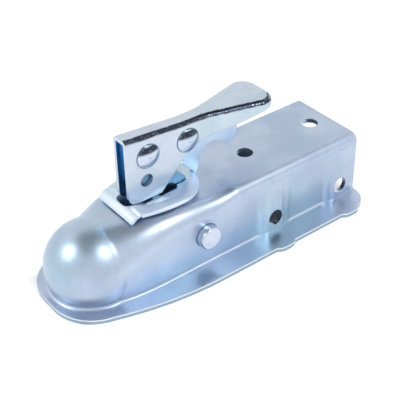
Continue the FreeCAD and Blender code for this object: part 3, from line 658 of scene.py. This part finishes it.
# The inner pieces get a darker blue than the outer zinc: painted shade of the inside of the housing.
inner = steel("inner_steel_shaded", pale=(0.26, 0.42, 0.58, 1), deep=(0.17, 0.32, 0.48, 1), smooth=0.2, dull=0.36)
dress(inner["material"], "draw_link", "ball_clamp", "adjuster_nut", "nut_washer", "spring_washer",
      "link_washer_near", "link_washer_far", "trigger_spacer")

wire = steel("spring_wire", pale=(0.36, 0.38, 0.42, 1), deep=(0.20, 0.22, 0.26, 1), smooth=0.26, dull=0.4)
dress(wire["material"], "clamp_spring", "trigger_spring")


# %% Nylon ring
def nylon():
    """Blue nylon ring of the lock nut: a dull plastic with faint moulding clouds."""
    material = bpy.data.materials.new("nylon_insert")
    material.use_nodes = True
    tree = material.node_tree
    shade = tree.nodes["Principled BSDF"]
    shade.inputs["Roughness"].default_value = 0.5
    place = tree.nodes.new("ShaderNodeTexCoord").outputs["Object"]
    cloud = noise(tree, place, Scale=300.0, Detail=2.0)
    tree.links.new(mixed(tree, cloud, NYLON_DEEP, NYLON_PALE), shade.inputs["Base Color"])
    return material


dress(nylon(), "nut_insert")

# %% [markdown]
# A round wire and a screw thread are both one profile carried along a path. The path is a run of
# points; at each point the profile is turned to stand square to the way forward. The closing rings
# are capped, so each piece is a closed body that could be cut out and weighed.

# %% Swept pieces


def swept(name, body, rings, material):
    """Closed tube through rings of points, each an (n, 3) array in metres, smooth shaded."""
    rows, count = len(rings), len(rings[0])
    points = np.concatenate(rings)
    faces = []
    for row in range(rows - 1):
        for k in range(count):
            after = (k + 1) % count
            low, high = row * count, (row + 1) * count
            faces.append((low + k, low + after, high + after, high + k))
    faces.append(tuple(reversed(range(count))))
    faces.append(tuple((rows - 1) * count + k for k in range(count)))
    mesh = bpy.data.meshes.new(name)
    mesh.from_pydata(points.tolist(), [], faces)
    mesh.validate()
    mesh.materials.append(material)
    mesh.shade_smooth()
    piece = bpy.data.objects.new(name, mesh)
    bpy.context.scene.collection.objects.link(piece)
    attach(piece, body)
    return piece


def wire_rings(path, radius, sides=10):
    """Round rings square to a path, carried from point to point without a twist."""
    path = np.array(path)
    forward = np.gradient(path, axis=0)
    forward /= np.linalg.norm(forward, axis=1)[:, None]
    side = np.cross(forward[0], (0.3, 0.5, 0.8))
    angles = np.linspace(0, 2 * math.pi, sides, endpoint=False)
    rings = []
    for point, way in zip(path, forward):
        side = side - way * side.dot(way)
        side /= np.linalg.norm(side)
        other = np.cross(way, side)
        rings.append(point + radius * (np.outer(np.cos(angles), side) + np.outer(np.sin(angles), other)))
    return rings


# %% Clamp pin
PIN_SHANK = 4.75 * MM
PIN_WALL = 28.3 * MM
PIN_RISE = 5.5 * MM
PIN_SOFT = 1.5 * MM
PEEN_HEAD = 6.4 * MM
PEEN_RISE = 2.1 * MM
PEEN_EDGE = 0.4 * MM
PIN_MIDDLE = 0.3 * MM
TURNED_SIDES = 72


def turned_profile():
    """Radius and place along the pin: peened far end, shank, and a head with a soft rim."""
    profile = [(PIN_MIDDLE, PIN_WALL + PEEN_RISE)]
    bow = (PEEN_HEAD ** 2 + (PEEN_RISE - PEEN_EDGE) ** 2) / (2 * (PEEN_RISE - PEEN_EDGE))
    for share in np.linspace(0.15, 1, 8):
        radius = PEEN_HEAD * share
        profile.append((radius, PIN_WALL + PEEN_RISE - bow + math.sqrt(bow ** 2 - radius ** 2)))
    profile += [(PEEN_HEAD, PIN_WALL), (PIN_SHANK, PIN_WALL)]
    profile += [(PIN_SHANK, -PIN_WALL), (HEAD_RADIUS, -PIN_WALL)]
    for angle in np.linspace(0, math.pi / 2, 9):
        profile.append((HEAD_RADIUS - PIN_SOFT * (1 - math.cos(angle)),
                        -PIN_WALL - PIN_RISE + PIN_SOFT * (1 - math.sin(angle))))
    profile.append((PIN_MIDDLE, -PIN_WALL - PIN_RISE))
    return profile


def turned_rings():
    """The profile carried round the pin's own line, as one closed ring of points for each of its places."""
    angles = np.linspace(0, 2 * math.pi, TURNED_SIDES, endpoint=False)
    return [np.stack([PIN_PLACE[0] + radius * np.cos(angles), np.full(TURNED_SIDES, along),
                      PIN_PLACE[1] + radius * np.sin(angles)], axis=1) for radius, along in turned_profile()]


pin = swept("turned_pin", "housing", turned_rings(), rivet["material"])
pin.data.set_sharp_from_angle(angle=math.radians(50))
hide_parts("clamp_pin")

# %% Stud thread
STUD_PLACE = (38.6 * MM, 0)
STUD_RADIUS = 4.6 * MM
THREAD_PITCH = 1.5 * MM
THREAD_RISE = 0.32 * MM
THREAD_SINK = 0.1 * MM
ROOT_HALF = 0.42
CREST_HALF = 0.1
THREAD_LOW = -13.6 * MM
THREAD_HIGH = 14.0 * MM
THREAD_STEPS = 30


def thread_rings():
    """Four cornered ridge wound up the stud, running out into the shank at both ends."""
    turns = (THREAD_HIGH - THREAD_LOW) / THREAD_PITCH
    steps = np.arange(int(turns * THREAD_STEPS) + 1) / THREAD_STEPS
    rings = []
    for turn in steps:
        angle = 2 * math.pi * turn
        fade = min(1, 2 * turn, 2 * (steps[-1] - turn))
        root = STUD_RADIUS - THREAD_SINK
        crest = STUD_RADIUS + THREAD_RISE * fade - THREAD_SINK * (1 - fade)
        height = THREAD_LOW + THREAD_PITCH * turn
        corners = ((root, -ROOT_HALF), (crest, -CREST_HALF), (crest, CREST_HALF), (root, ROOT_HALF))
        rings.append(np.array([(STUD_PLACE[0] + r * math.cos(angle), STUD_PLACE[1] + r * math.sin(angle),
                                height + z * THREAD_PITCH) for r, z in corners]))
    return rings


swept("stud_thread", "link", thread_rings(), inner["material"])

# %% Trigger spring
COIL_PLACE = RIVET_PLACES[1]
COIL_RADIUS = 5.0 * MM
COIL_WIRE = 0.34 * MM
COIL_FIRST = 1.96 * MM
COIL_LAST = 2.74 * MM
COIL_TURNS = 1.85
COIL_START = math.radians(-62)
COIL_STEPS = 74
LEG = 7.0 * MM
LEG_STEPS = 8


def coil_path():
    """Torsion spring about the rivet: a straight leg, two turns side by side, and a straight leg."""
    points = []
    for turn in np.linspace(0, COIL_TURNS, COIL_STEPS):
        angle = COIL_START + 2 * math.pi * turn
        across = COIL_FIRST + (COIL_LAST - COIL_FIRST) * turn / COIL_TURNS
        points.append(np.array((COIL_PLACE[0] + COIL_RADIUS * math.cos(angle), across,
                                COIL_PLACE[1] + COIL_RADIUS * math.sin(angle))))
    first, last = points[0], points[-1]
    out_first = first - points[1]
    out_last = last - points[-2]
    steps = np.linspace(1, 0, LEG_STEPS, endpoint=False)
    lead = [first + out_first / np.linalg.norm(out_first) * LEG * step for step in steps]
    tail = [last + out_last / np.linalg.norm(out_last) * LEG * step for step in reversed(steps)]
    return lead + points + tail


coil = swept("torsion_spring", "lever", wire_rings(coil_path(), COIL_WIRE), wire["material"])
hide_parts("trigger_spring")
